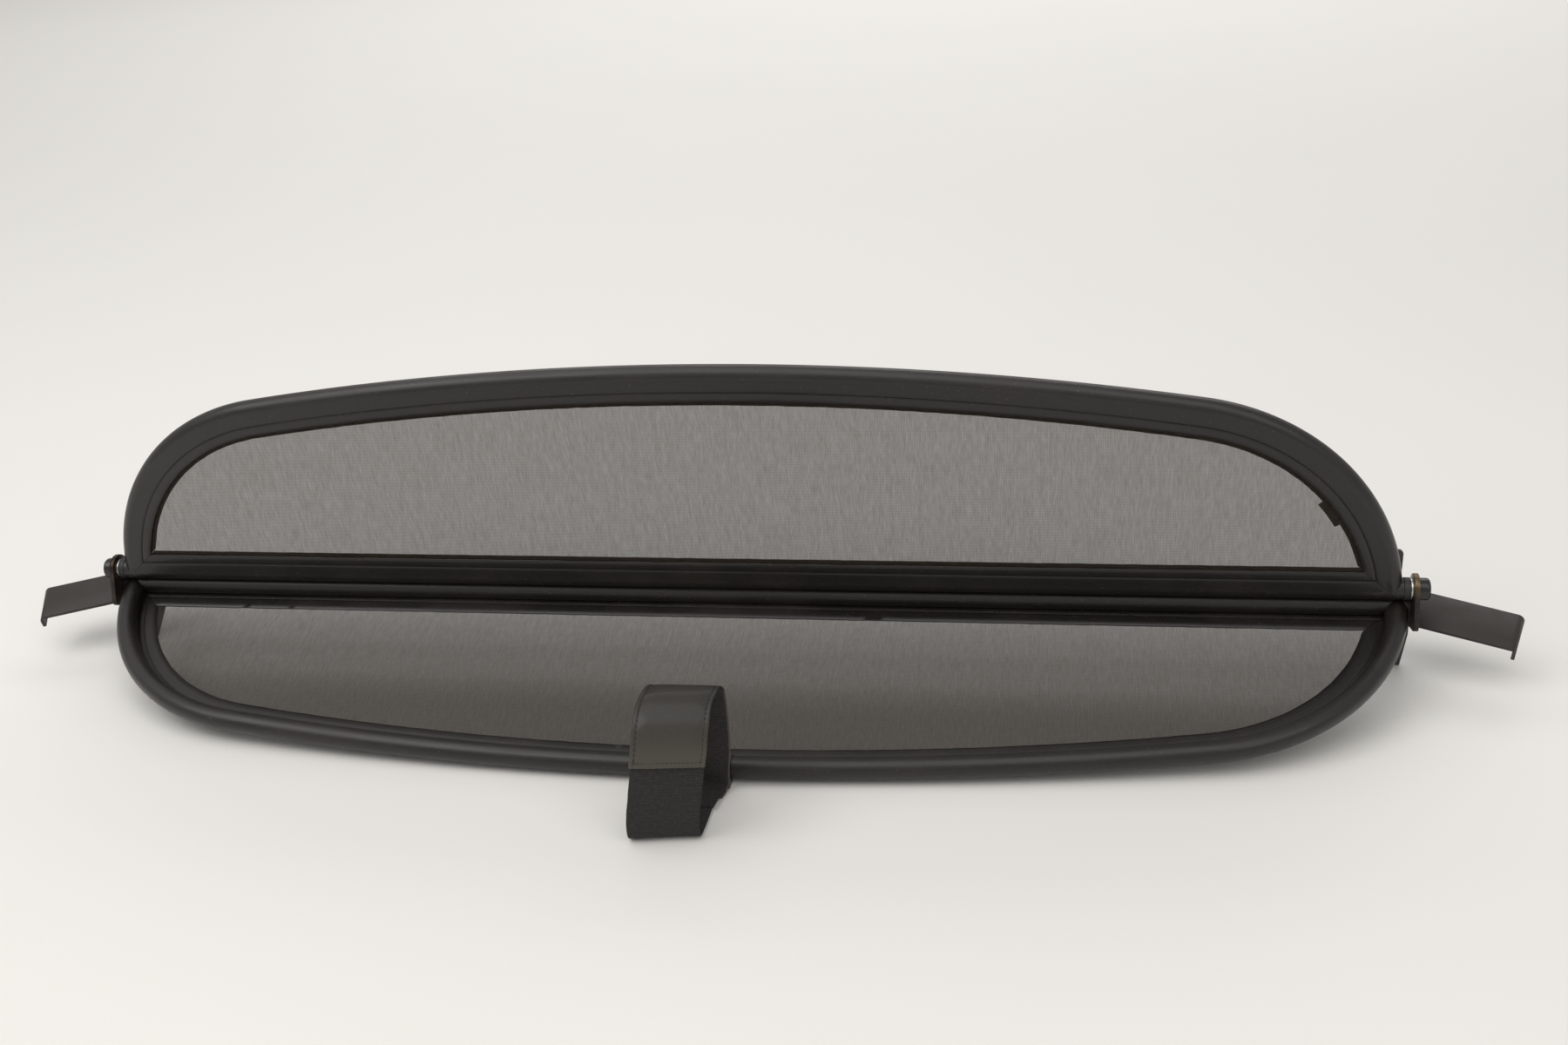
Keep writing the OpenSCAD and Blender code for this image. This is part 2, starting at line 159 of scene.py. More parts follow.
def build_grain_group():
    g, gin, gout = new_group(
        "leather_grain",
        [("Vector", "NodeSocketVector", (0, 0, 0)), ("Cells", "NodeSocketFloat", 900.0)],
        [("Height", "NodeSocketFloat"), ("Creases", "NodeSocketFloat")])
    v = g.nodes.new("ShaderNodeTexVoronoi")
    v.feature = "DISTANCE_TO_EDGE"
    g.links.new(gin.outputs["Vector"], v.inputs["Vector"])
    g.links.new(gin.outputs["Cells"], v.inputs["Scale"])
    v.inputs["Randomness"].default_value = 0.9
    crease = map_range(g, v.outputs["Distance"], 0.0, 0.28, 0.0, 1.0)
    fine = noise_node(g, gin.outputs["Vector"], 2600.0, 2.0)
    wide = noise_node(g, gin.outputs["Vector"], 190.0, 2.0)
    h = math_node(g, "ADD", crease, math_node(g, "MULTIPLY", fine, 0.35))
    h = math_node(g, "ADD", h, math_node(g, "MULTIPLY", wide, 0.6))
    g.links.new(h, gout.inputs["Height"])
    g.links.new(crease, gout.inputs["Creases"])
    return g


def build_dust_group():
    g, gin, gout = new_group(
        "dust_and_wear",
        [("Vector", "NodeSocketVector", (0, 0, 0)), ("Scale", "NodeSocketFloat", 20.0),
         ("Amount", "NodeSocketFloat", 0.5)],
        [("Mask", "NodeSocketFloat"), ("Specks", "NodeSocketFloat")])
    n = g.nodes.new("ShaderNodeTexNoise")
    n.inputs["Detail"].default_value = 5.0
    n.inputs["Roughness"].default_value = 0.6
    g.links.new(gin.outputs["Vector"], n.inputs["Vector"])
    g.links.new(gin.outputs["Scale"], n.inputs["Scale"])
    soft = map_range(g, n.outputs["Fac"], 0.45, 0.75, 0.0, 1.0)
    g.links.new(math_node(g, "MULTIPLY", soft, gin.outputs["Amount"]), gout.inputs["Mask"])
    s = noise_node(g, gin.outputs["Vector"], 420.0, 1.0)
    specks = map_range(g, s, 0.70, 0.76, 0.0, 1.0)
    g.links.new(math_node(g, "MULTIPLY", specks, gin.outputs["Amount"]), gout.inputs["Specks"])
    return g


GRAIN = build_grain_group()
DUST = build_dust_group()


def new_material(name):
    m = bpy.data.materials.new(name)
    m.use_nodes = True
    t = m.node_tree
    return m, t, t.nodes["Principled BSDF"], t.nodes.new("ShaderNodeTexCoord")


def place_group(tree, group, where, **values):
    n = tree.nodes.new("ShaderNodeGroup")
    n.node_tree = group
    tree.links.new(where, n.inputs["Vector"])
    for key, v in values.items():
        n.inputs[key].default_value = v
    return n


def bump(tree, bsdf, height, strength, distance):
    b = tree.nodes.new("ShaderNodeBump")
    b.inputs["Strength"].default_value = strength
    b.inputs["Distance"].default_value = distance
    tree.links.new(height, b.inputs["Height"])
    tree.links.new(b.outputs["Normal"], bsdf.inputs["Normal"])


def leatherette(name, base, worn, rough, cells=820.0, strength=0.45, creases=0.8, specks=1.0,
                painted_light_span=None):
    m, t, p, c = new_material(name)
    where = c.outputs["Object"]
    grain = place_group(t, GRAIN, where, Cells=cells)
    dust = place_group(t, DUST, where, Scale=14.0, Amount=0.9)
    colour = mix_colour(t, dust.outputs["Mask"], base, worn)
    if painted_light_span:
        # Painted light: paler below the crest, a painted gradient standing in for the front light
        # on the strap's front face
        painted_light = map_range(t, split(t, where)[2], painted_light_span[0], painted_light_span[1], 0.0, 0.85)
        colour = mix_colour(t, painted_light, colour, (0.068, 0.058, 0.045))
    dark = tuple(0.55 * v for v in base)
    crease = map_range(t, grain.outputs["Creases"], 0.0, 0.5, creases, 0.0)
    colour = mix_colour(t, crease, colour, dark)
    flecks = map_range(t, dust.outputs["Specks"], 0.0, 1.0, 0.0, specks)
    colour = mix_colour(t, flecks, colour, tuple(2.2 * v for v in worn))
    t.links.new(colour, p.inputs["Base Color"])
    r = map_range(t, dust.outputs["Mask"], 0.0, 0.6, rough, rough + 0.14)
    t.links.new(r, p.inputs["Roughness"])
    p.inputs["Specular IOR Level"].default_value = 0.43
    p.inputs["Coat Weight"].default_value = 0.26
    p.inputs["Coat Roughness"].default_value = 0.21
    bump(t, p, grain.outputs["Height"], strength, 0.00018)
    return m


def plain_surface(name, base, worn, rough, metal=0.0):
    m, t, p, c = new_material(name)
    where = c.outputs["Object"]
    dust = place_group(t, DUST, where, Scale=45.0, Amount=0.6)
    colour = mix_colour(t, dust.outputs["Mask"], base, worn)
    bright = tuple(min(1.0, 1.7 * v) for v in worn)
    colour = mix_colour(t, dust.outputs["Specks"], colour, bright)
    t.links.new(colour, p.inputs["Base Color"])
    r = map_range(t, dust.outputs["Mask"], 0.0, 0.6, rough, rough + 0.18)
    t.links.new(r, p.inputs["Roughness"])
    p.inputs["Metallic"].default_value = metal
    peel = noise_node(t, where, 900.0, 2.0)
    bump(t, p, peel, 0.12, 0.0002)
    return m


def ear_material():
    """Passivated steel: brassy above the hinge on the right, darker on the left and below."""
    m, t, p, c = new_material("ear_steel")
    where = c.outputs["Object"]
    dust = place_group(t, DUST, where, Scale=110.0, Amount=1.0)
    along, _, level = split(t, where)
    uneven = math_node(t, "MULTIPLY", noise_node(t, where, 160.0), 0.010)
    height = math_node(t, "ADD", level, uneven)
    low = map_range(t, height, HINGE.z + 0.003, HINGE.z + 0.012, 1.0, 0.0)
    side = map_range(t, along, -0.3, 0.3, 0.0, 1.0)
    bare = mix_colour(t, side, (0.030, 0.024, 0.019), (0.150, 0.112, 0.066))
    colour = mix_colour(t, low, bare, (0.011, 0.009, 0.008))
    colour = mix_colour(t, dust.outputs["Mask"], colour, (0.060, 0.034, 0.018))
    t.links.new(colour, p.inputs["Base Color"])
    t.links.new(map_range(t, low, 0.0, 1.0, 0.36, 0.52), p.inputs["Roughness"])
    t.links.new(map_range(t, low, 0.0, 1.0, 0.85, 0.25), p.inputs["Metallic"])
    bump(t, p, noise_node(t, where, 700.0, 3.0), 0.35, 0.0003)
    return m


COVER_SKIN = leatherette("cover_leatherette", (0.0090, 0.0072, 0.0060), (0.0215, 0.0165, 0.0120),
                         0.37)
# The strap's leatherette carries painted light: paler below its crest, standing in for the front
# light
STRAP_SKIN = leatherette("strap_leatherette", (0.0125, 0.0105, 0.0080), (0.026, 0.0215, 0.0160),
                         0.52, 900.0, strength=0.3, creases=0.25, specks=0.3,
                         painted_light_span=(HINGE.z + 0.022, HINGE.z - 0.004))
ARM_PAINT = plain_surface("arm_paint", (0.0195, 0.0152, 0.0128), (0.031, 0.0245, 0.0205), 0.46)
LEG_PAINT = plain_surface("leg_paint", (0.030, 0.030, 0.029), (0.055, 0.054, 0.050), 0.34)
EAR_STEEL = ear_material()
WASHER_ZINC = plain_surface("washer_zinc", (0.62, 0.62, 0.60), (0.38, 0.37, 0.35), 0.24, 1.0)
BOLT_ZINC = plain_surface("bolt_zinc", (0.40, 0.39, 0.36), (0.22, 0.20, 0.18), 0.34, 1.0)
TUBE_STEEL = plain_surface("tube_steel", (0.30, 0.30, 0.30), (0.20, 0.18, 0.16), 0.38, 1.0)
CAP_PLASTIC = plain_surface("cap_plastic", (0.012, 0.012, 0.013), (0.022, 0.022, 0.022), 0.22)
BUSH_PLASTIC = plain_surface("bush_plastic", (0.016, 0.016, 0.016), (0.028, 0.027, 0.026), 0.50)


def thread_material():
    m, t, p, c = new_material("stitch_thread")
    n = noise_node(t, c.outputs["Object"], 3000.0, 1.0)
    colour = mix_colour(t, n, (0.005, 0.005, 0.005), (0.022, 0.020, 0.018))
    t.links.new(colour, p.inputs["Base Color"])
    p.inputs["Roughness"].default_value = 0.6
    return m


def net_material(name, cover):
    m, t, p, c = new_material(name)
    uv = weave_map(t)
    across, down, _ = split(t, uv)
    # Threads a little over a millimetre apart, in columns and rows
    knit = math_node(t, "ADD", wave(t, across, 1.1), wave(t, down, 1.25))
    knit = math_node(t, "MULTIPLY", knit, 0.045)
    # Long uneven streaks down the columns, and shorter ones among them
    streak = noise_node(t, scaled(t, uv, (0.20, 0.032, 1.0)), 1.0, 4.0, 0.6)
    streak = map_range(t, streak, 0.3, 0.7, -0.024, 0.024)
    speckle = noise_node(t, scaled(t, uv, (0.55, 0.10, 1.0)), 1.0, 3.0)
    speckle = map_range(t, speckle, 0.3, 0.7, -0.035, 0.035)
    alpha = math_node(t, "ADD", math_node(t, "ADD", knit, streak),
                      math_node(t, "ADD", speckle, cover))
    t.links.new(math_node(t, "MAXIMUM", alpha, 0.05), p.inputs["Alpha"])
    tone = map_range(t, streak, -0.024, 0.024, 0.0, 1.0)
    colour = mix_colour(t, tone, (0.026, 0.0205, 0.0155), (0.040, 0.031, 0.0235))
    t.links.new(colour, p.inputs["Base Color"])
    p.inputs["Roughness"].default_value = 0.8
    p.inputs["Specular IOR Level"].default_value = 0.12
    m.surface_render_method = "BLENDED"
    return m


def webbing_material():
    m, t, p, c = new_material("hook_webbing")
    uv = weave_map(t)
    across, down, _ = split(t, uv)
    weave = math_node(t, "MULTIPLY", wave(t, across, 1.0), wave(t, down, 0.9))
    where = scaled(t, uv, (0.5, 0.5, 1.0))
    fuzz = map_range(t, noise_node(t, where, 2.2, 5.0, 0.75), 0.35, 0.65, 0.0, 1.0)
    lint = map_range(t, noise_node(t, where, 1.1, 4.0, 0.7), 0.60, 0.72, 0.0, 0.4)
    mottle = map_range(t, noise_node(t, where, 0.75, 4.0, 0.65), 0.38, 0.64, 0.0, 0.75)
    ribs = wave(t, down, 2.4)
    gaps = map_range(t, weave, -0.2, 0.9, 0.55, 0.0)
    grooves = map_range(t, ribs, 0.1, 1.0, 0.0, 0.45)
    colour = mix_colour(t, fuzz, (0.005, 0.005, 0.006), (0.048, 0.042, 0.041))
    colour = mix_colour(t, gaps, colour, (0.006, 0.006, 0.007))
    colour = mix_colour(t, lint, colour, (0.11, 0.10, 0.09))
    colour = mix_colour(t, mottle, colour, (0.048, 0.043, 0.042))
    colour = mix_colour(t, grooves, colour, (0.008, 0.008, 0.009))
    t.links.new(colour, p.inputs["Base Color"])
    p.inputs["Roughness"].default_value = 0.85
    h = math_node(t, "ADD", math_node(t, "MULTIPLY", weave, 0.5), fuzz)
    h = math_node(t, "ADD", h, math_node(t, "MULTIPLY", ribs, -0.5))
    bump(t, p, h, 0.8, 0.0005)
    return m


THREAD = thread_material()
TAPE = leatherette("tab_tape", (0.010, 0.010, 0.010), (0.020, 0.019, 0.018), 0.62, 1600.0, 0.25)
UPPER_MESH = net_material("upper_net_fabric", 0.750)
LOWER_MESH = net_material("lower_net_fabric", 0.715)
WEBBING = webbing_material()


# Mesh helpers

def finish_mesh(bm, name, material, body, slot, stands_for=(), place=None, smooth=50.0):
    if place is not None:
        bmesh.ops.transform(bm, matrix=place, verts=bm.verts)
    mesh = bpy.data.meshes.new(name)
    bm.to_mesh(mesh)
    bm.free()
    for f in mesh.polygons:
        f.use_smooth = True
    mesh.set_sharp_from_angle(angle=math.radians(smooth))
    obj = bpy.data.objects.new(name, mesh)
    bpy.context.collection.objects.link(obj)
    obj.data.materials.append(material)
    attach(obj, body)
    if stands_for:
        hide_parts(*stands_for)
    return obj


def closed_piece(bm, *rest):
    """Turns the faces of a piece drawn in millimetres outwards, and finishes it in metres."""
    bmesh.ops.recalc_face_normals(bm, faces=bm.faces)
    bmesh.ops.scale(bm, vec=(MM, MM, MM), verts=bm.verts)
    finish_mesh(bm, *rest)


def side_length(w):
    ax = w - CORNER_R * math.cos(LEAN)
    ay = CROWN_R - BOW_DEPTH - CORNER_R * math.sin(LEAN)
    b = ay * math.cos(LEAN) - ax * math.sin(LEAN)
    c = ax * ax + ay * ay - (CROWN_R - CORNER_R) ** 2
    return math.sqrt(b * b - c) - b


def corner_centre(w):
    s = side_length(w)
    return Vector((w - s * math.sin(LEAN) - CORNER_R * math.cos(LEAN),
                   s * math.cos(LEAN) - CORNER_R * math.sin(LEAN)))


def crown_start(w):
    c = corner_centre(w)
    return math.atan2(c.y + CROWN_R - BOW_DEPTH, c.x)


def bow_line(w, a, pitch):
    """Places along the right half of the bow at distance a inside its tube's
    centre, from the mitre to the crown's middle: point and direction."""
    s, c, start = side_length(w), corner_centre(w), crown_start(w)
    out = []
    rc, rk = CORNER_R - a, CROWN_R - a
    first = Vector((w, 0)) + a * Vector((-math.cos(LEAN), -math.sin(LEAN)))
    along = Vector((-math.sin(LEAN), math.cos(LEAN)))
    d = 0.0
    while d < s:
        out.append((first + along * d, along.copy()))
        d += pitch
    d -= s
    while d < rc * (start - LEAN):
        t = LEAN + d / rc
        out.append((c + rc * Vector((math.cos(t), math.sin(t))),
                    Vector((-math.sin(t), math.cos(t)))))
        d += pitch
    d -= rc * (start - LEAN)
    k = Vector((0, BOW_DEPTH - CROWN_R))
    while d < rk * (math.pi / 2 - start):
        t = start + d / rk
        out.append((k + rk * Vector((math.cos(t), math.sin(t))),
                    Vector((-math.sin(t), math.cos(t)))))
        d += pitch
    return out


def cover_profile():
    """Closed section of a wrapped tube with its two sewn flaps: distance a
    towards the net and height n towards the flush side."""
    pts = []
    for i in range(31):
        t = math.radians(79.7 + (400.0 - 79.7) * i / 30)
        pts.append((COVER_R * math.cos(t), COVER_R * math.sin(t)))
    pts += [(7.6, 5.9), (8.6, FLAP_REAR), (10.6, FLAP_REAR), (11.4, FLAP_REAR + 0.12),
            (STITCH_LINE, FLAP_REAR + 0.42), (13.0, FLAP_REAR + 0.12), (14.0, FLAP_REAR),
            (19.0, FLAP_REAR), (REAR_REACH - 0.35, FLAP_REAR), (REAR_REACH, FLAP_REAR + 0.4),
            (REAR_REACH, 6.9), (REAR_REACH - 0.3, 7.15), (19.8, 7.15), (17.0, 7.2),
            (17.0, 7.9), (19.8, 7.95), (FRONT_REACH - 0.3, 7.95), (FRONT_REACH, 8.2),
            (FRONT_REACH, 8.8), (FRONT_REACH - 0.35, FLAP_FRONT), (17.0, FLAP_FRONT),
            (14.0, FLAP_FRONT), (13.0, FLAP_FRONT - 0.12), (STITCH_LINE, FLAP_FRONT - 0.5),
            (11.4, FLAP_FRONT - 0.12), (10.6, FLAP_FRONT), (8.0, FLAP_FRONT),
            (5.0, FLAP_FRONT), (3.0, FLAP_FRONT)]
    return pts


def circle(radius, count):
    turns = [2 * math.pi * i / count for i in range(count)]
    return [(radius * math.cos(t), radius * math.sin(t)) for t in turns]


def closed_loop(bm, points):
    verts = [bm.verts.new(p) for p in points]
    return [bm.edges.new((verts[i], verts[(i + 1) % len(verts)])) for i in range(len(verts))]


def section_loop(bm, points, matrix):
    return closed_loop(bm, [matrix @ Vector((a, 0.0, n)) for a, n in points])


def edges_of(geom):
    return [g for g in geom if isinstance(g, bmesh.types.BMEdge)]


def verts_of(geom):
    return [g for g in geom if isinstance(g, bmesh.types.BMVert)]


def push_loop(bm, edges, matrix):
    made = bmesh.ops.extrude_edge_only(bm, edges=edges)["geom"]
    bmesh.ops.transform(bm, matrix=matrix, verts=verts_of(made))
    return edges_of(made)


def cap_loop(bm, edges):
    bmesh.ops.triangle_fill(bm, use_beauty=True, edges=edges)


def turn_about(centre, angle):
    back = Matrix.Translation(-centre)
    return Matrix.Translation(centre) @ Matrix.Rotation(angle, 4, "Z") @ back


def cut_at(bm, point, normal, near):
    """Trims what lies ahead of a plane, on one side of the place near, and closes the end."""
    faces = [f for f in bm.faces if f.calc_center_median().x * near > near * near]
    # A dict keeps the order, which a set doesn't
    geom = list(dict.fromkeys(g for f in faces for g in (*f.verts, *f.edges, f)))
    r = bmesh.ops.bisect_plane(bm, geom=geom, plane_co=point, plane_no=normal, clear_outer=True)
    rim = [e for e in edges_of(r["geom_cut"]) if e.is_boundary]
    if rim:
        cap_loop(bm, rim)


def ruffle(bm, w, seed, bow):
    """Uneven cut edges, and creases at the mitres, which are stronger on the lower frame."""
    crease_reach, crease_share = (30.0, 1.0) if w == LOWER_HALF else (22.0, 0.6)
    for v in bm.verts:
        x, h, n = v.co
        far = min((Vector((abs(x), h)) - Vector((w, 0))).length, 400.0)
        base = noise.noise(Vector((x * 0.09, h * 0.09, seed)))
        fine = noise.noise(Vector((x * 0.35, h * 0.35, seed + 9.0)))
        crease = math.exp(-(far / crease_reach) ** 2)
        wrinkle = noise.noise(Vector((x * 0.26, h * 0.26, n * 0.26 + seed))) * crease_share * crease
        centre, inward = v_axis(w, x, h, bow)
        a = (Vector((x, h)) - centre).dot(inward)
        edge = max(0.0, min(1.0, (a - 13.0) / 8.0))
        shift = inward * (edge * (0.28 * base + 0.16 * fine) - 0.35 * crease * edge)
        lift = edge * 0.10 * fine
        r = Vector((inward.x * a, inward.y * a, n))
        swell = r.normalized() * (wrinkle - 0.02) if a < 11.0 and r.length > 1.0 else Vector()
        v.co += Vector((shift.x, shift.y, lift)) + swell


def v_axis(w, x, h, bow):
    """Nearest place on the tube's centre line, and the direction from there to the net."""
    if not bow:
        return Vector((x, 0.0)), Vector((0.0, 1.0))
    c, start = corner_centre(w), crown_start(w)
    side = 1.0 if x >= 0 else -1.0
    p = Vector((abs(x), h))
    d = p - c
    t = math.atan2(d.y, d.x)
    k = Vector((0, BOW_DEPTH - CROWN_R))
    dk = p - k
    if math.atan2(dk.y, dk.x) > start:
        u = dk.normalized()
        centre, inward = k + u * CROWN_R, -u
    elif t > LEAN:
        u = d.normalized()
        centre, inward = c + u * CORNER_R, -u
    else:
        inward = Vector((-math.cos(LEAN), -math.sin(LEAN)))
        along = Vector((-math.sin(LEAN), math.cos(LEAN)))
        centre = Vector((w, 0)) + along * (p - Vector((w, 0))).dot(along)
    return Vector((side * centre.x, centre.y)), Vector((side * inward.x, inward.y))


def mitre_plane(w, side):
    """Plane between rail and bow at a corner; its normal points to the rail's side."""
    t = 0.75 * math.pi + LEAN / 2
    return Vector((side * w, 0.0, 0.0)), Vector((-side * math.sin(t), math.cos(t), 0.0))


def finish_cover(bm, name, w, end, place, node, body, seed, bow):
    """Gives a swept cover its unevenness, mitres its corners and cuts off its ends."""
    ruffle(bm, w, seed, bow)
    for side in (1.0, -1.0):
        p, n = mitre_plane(w, side)
        away = n if bow else -n
        cut_at(bm, p - away * MITRE_GAP, away, side * (w - 90.0))
    for side in (1.0, -1.0):
        cut_at(bm, Vector((side * (end - 0.1), 0, 0)), Vector((side, 0, 0)), side * (w - 30.0))
    closed_piece(bm, name, COVER_SKIN, body, "leatherette", [node], place)


def wrapped_bow(name, w, end, place, node, body, seed):
    bm = bmesh.new()
    s, c, start = side_length(w), corner_centre(w), crown_start(w)
    base = Matrix.Translation((w, 0, 0)) @ Matrix.Rotation(LEAN, 4, "Z")
    # Section lies across the side, with a pointing inwards
    base = base @ Matrix.Translation((0, -RUN_OUT, 0)) @ Matrix.Diagonal((-1, 1, 1, 1))
    loop = section_loop(bm, cover_profile(), base)
    along = Vector((-math.sin(LEAN), math.cos(LEAN), 0))
    steps = 6
    for i in range(steps):
        loop = push_loop(bm, loop, Matrix.Translation(along * ((RUN_OUT + s) / steps)))
    for centre, turn, steps in ((Vector((c.x, c.y, 0)), start - LEAN, 60),
                                (Vector((0, BOW_DEPTH - CROWN_R, 0)), math.pi / 2 - start, 90)):
        m = turn_about(centre, turn / steps)
        for i in range(steps):
            loop = push_loop(bm, loop, m)
    for e in loop:
        for v in e.verts:
            v.co.x = 0.0
    for v in bm.verts:
        if abs(v.co.x) < 1e-5:
            v.co.x = 0.0
    geom = list(bm.verts) + list(bm.edges) + list(bm.faces)
    bmesh.ops.mirror(bm, geom=geom, axis="X", merge_dist=1e-4)
    finish_cover(bm, name, w, end, place, node, body, seed, True)


def wrapped_rail(name, w, end, place, node, body, seed):
    bm = bmesh.new()
    half = w + RUN_OUT
    turn = Matrix.Translation((-half, 0, 0)) @ Matrix.Rotation(math.pi / 2, 4, "Z")
    loop = section_loop(bm, cover_profile(), turn)
    steps = 240
    for i in range(steps):
        loop = push_loop(bm, loop, Matrix.Translation((2 * half / steps, 0, 0)))
    finish_cover(bm, name, w, end, place, node, body, seed, False)


def end_cuff(name, w, end, side, place, body, seed):
    """Leatherette drawn round the rail's end, under the bow's cover."""
    start = w - 14.0
    turn = Matrix.Translation((start, 0, 0)) @ Matrix.Rotation(math.pi / 2, 4, "Z")
    bm = bmesh.new()
    loop = section_loop(bm, circle(CUFF_R, 48), turn)
    steps = 24
    for i in range(steps):
        loop = push_loop(bm, loop, Matrix.Translation(((end - 0.2 - start) / steps, 0, 0)))
    rim = Matrix.Translation((0.1, 0, 0)) @ Matrix.Diagonal((1, 0.90, 0.90, 1))
    loop = push_loop(bm, loop, rim)
    cap_loop(bm, loop)
    for v in bm.verts:
        out = Vector((0, v.co.y, v.co.z))
        free = min(1.0, max(0.0, (end - v.co.x) / 3.0))
        if out.length > 8.5:
            q = Vector((v.co.x * 0.5, v.co.y * 0.2, v.co.z * 0.2 + seed))
            v.co += out.normalized() * 0.55 * free * noise.noise(q)
    if side < 0:
        bmesh.ops.scale(bm, vec=(-1, 1, 1), verts=bm.verts)
    cap_loop(bm, [e for e in bm.edges if e.is_boundary])
    closed_piece(bm, name, COVER_SKIN, body, "leatherette", (), place)


def stitch_piece(name, places, place, body, slot_name, long, thick):
    """One piece of thread: a small bead, copied to each place."""
    one = bmesh.new()
    bmesh.ops.create_uvsphere(one, u_segments=6, v_segments=4, radius=1.0,
                              matrix=Matrix.Diagonal((long / 2, thick / 2, thick / 2, 1)))
    bead = bpy.data.meshes.new("bead")
    one.to_mesh(bead)
    one.free()
    bm = bmesh.new()
    for spot in places:
        stitch = bead.copy()
        stitch.transform(spot)
        bm.from_mesh(stitch)
        bpy.data.meshes.remove(stitch)
    bpy.data.meshes.remove(bead)
    bmesh.ops.scale(bm, vec=(MM, MM, MM), verts=bm.verts)
    finish_mesh(bm, name, THREAD, body, slot_name, (), place, 180.0)


def both_sides(spots):
    return spots + [(Vector((-p.x, p.y)), Vector((d.x, -d.y))) for p, d in spots]


def frame_stitches(name, w, place, body):
    # Both seams stop a little short of the mitre
    bow = both_sides(bow_line(w, STITCH_LINE, STITCH_PITCH))
    bow = [(p, d) for p, d in bow if p.y > (w - abs(p.x)) * 0.89 + 1.0]
    reach = w - STITCH_LINE * 1.15 - 2.0
    n = int(2 * reach / STITCH_PITCH)
    rail = [(Vector((-reach + STITCH_PITCH * i, STITCH_LINE)), Vector((1.0, 0.0)))
            for i in range(n + 1)]
    for side, level in (("front", FLAP_FRONT - 0.34), ("rear", FLAP_REAR + 0.28)):
        spots = [Matrix.Translation((p.x, p.y, level))
                 @ Matrix.Rotation(math.atan2(d.y, d.x), 4, "Z") for p, d in bow + rail]
        stitch_piece(name + "_stitches_" + side, spots, place, body, "leatherette", 2.7, 0.75)


def net_piece(name, w, place, node, body, material):
    """Flat cloth, of which the edge lies between the flaps."""
    outline = [p for p, d in bow_line(w, NET_INSET, 7.0) if p.y > NET_INSET]
    x0 = outline[0].x + (outline[0].y - NET_INSET) * math.tan(LEAN)
    outline = [Vector((x0, NET_INSET))] + outline
    outline += [Vector((-p.x, p.y)) for p in reversed(outline)]
    bm = bmesh.new()
    verts = [bm.verts.new((p.x, p.y, NET_LEVEL)) for p in outline]
    face = bm.faces.new(verts)
    bmesh.ops.triangulate(bm, faces=[face])
    uv = bm.loops.layers.uv.new("weave")
    for f in bm.faces:
        for l in f.loops:
            l[uv].uv = (l.vert.co.x, l.vert.co.y)
    bmesh.ops.scale(bm, vec=(MM, MM, MM), verts=bm.verts)
    obj = finish_mesh(bm, name, material, body, "net_fabric", [node], place)


SIDES = ((1.0, "right"), (-1.0, "left"))

wrapped_bow("upper_bow_wrap", UPPER_HALF, RAIL_END, UPPER_PLACE, "upper_bow_cover",
            "upper_frame", 3.1)
wrapped_rail("upper_rail_wrap", UPPER_HALF, RAIL_END, UPPER_PLACE, "upper_rail_cover",
             "upper_frame", 5.7)
wrapped_bow("lower_bow_wrap", LOWER_HALF, EAR_IN, LOWER_PLACE, "lower_bow_cover",
            "lower_frame", 8.3)
wrapped_rail("lower_rail_wrap", LOWER_HALF, EAR_IN, LOWER_PLACE, "lower_rail_cover",
             "lower_frame", 12.9)
for side, word in SIDES:
    end_cuff("upper_cuff_" + word, UPPER_HALF, RAIL_END, side, UPPER_PLACE, "upper_frame", 1.0)
    end_cuff("lower_cuff_" + word, LOWER_HALF, EAR_IN, side, LOWER_PLACE, "lower_frame", 6.0)
frame_stitches("upper", UPPER_HALF, UPPER_PLACE, "upper_frame")
frame_stitches("lower", LOWER_HALF, LOWER_PLACE, "lower_frame")
net_piece("upper_net_cloth", UPPER_HALF, UPPER_PLACE, "upper_net", "upper_frame", UPPER_MESH)
net_piece("lower_net_cloth", LOWER_HALF, LOWER_PLACE, "lower_net", "lower_frame", LOWER_MESH)


# Strap, about the hinge axis: places along its line from the front bottom up,
# over the crest, down behind and forward over the floor, with the turn of its
# width in degrees

STRAP_LINE = (
    (2.0, -204.0, -81.9, 1.0), (0.6, -221.0, -81.6, 3.0), (-0.2, -238.0, -81.9, 5.0),
    (-0.8, -255.0, -81.9, 7.0), (-0.9, -265.0, -81.2, 8.0), (-0.6, -270.8, -77.0, 8.0),
    (-0.2, -273.3, -70.0, 8.0), (0.6, -274.2, -60.0, 8.0), (2.2, -274.4, -50.0, 8.0),
    (4.0, -274.0, -40.0, 8.0), (6.0, -272.8, -27.0, 8.0), (7.8, -271.2, -14.0, 8.0),
    (9.3, -268.6, -3.0, 8.0), (10.3, -264.4, 7.0, 7.5), (10.9, -258.6, 15.5, 7.0),
    (11.3, -250.6, 22.0, 6.0), (12.0, -240.0, 25.8, 4.5), (13.0, -229.0, 26.6, 3.0),
    (13.8, -219.4, 23.6, 1.0), (14.1, -213.0, 17.0, 0.0), (14.3, -210.9, 7.0, 0.0),
    (14.4, -210.5, -8.0, 0.0), (14.3, -210.5, -24.0, 0.0), (13.6, -210.4, -38.0, 0.0),
    (12.0, -209.0, -50.0, 0.0), (10.2, -205.4, -61.0, 0.0), (8.8, -201.6, -70.0, 0.0),
    (7.8, -201.8, -76.6, 0.0), (6.6, -206.4, -80.0, 0.0), (4.8, -213.0, -80.2, 1.0),
    (2.8, -221.0, -80.0, 2.0), (1.2, -231.0, -80.0, 3.0), (0.5, -240.0, -80.1, 5.0))
# Height at which the leatherette ends in front, and how far it stops short at the other end
LEATHER_END = -15.0
LEATHER_SHORT = 16.0
LEATHER_WIDE = 57.0
WEBBING_WIDE = 55.6
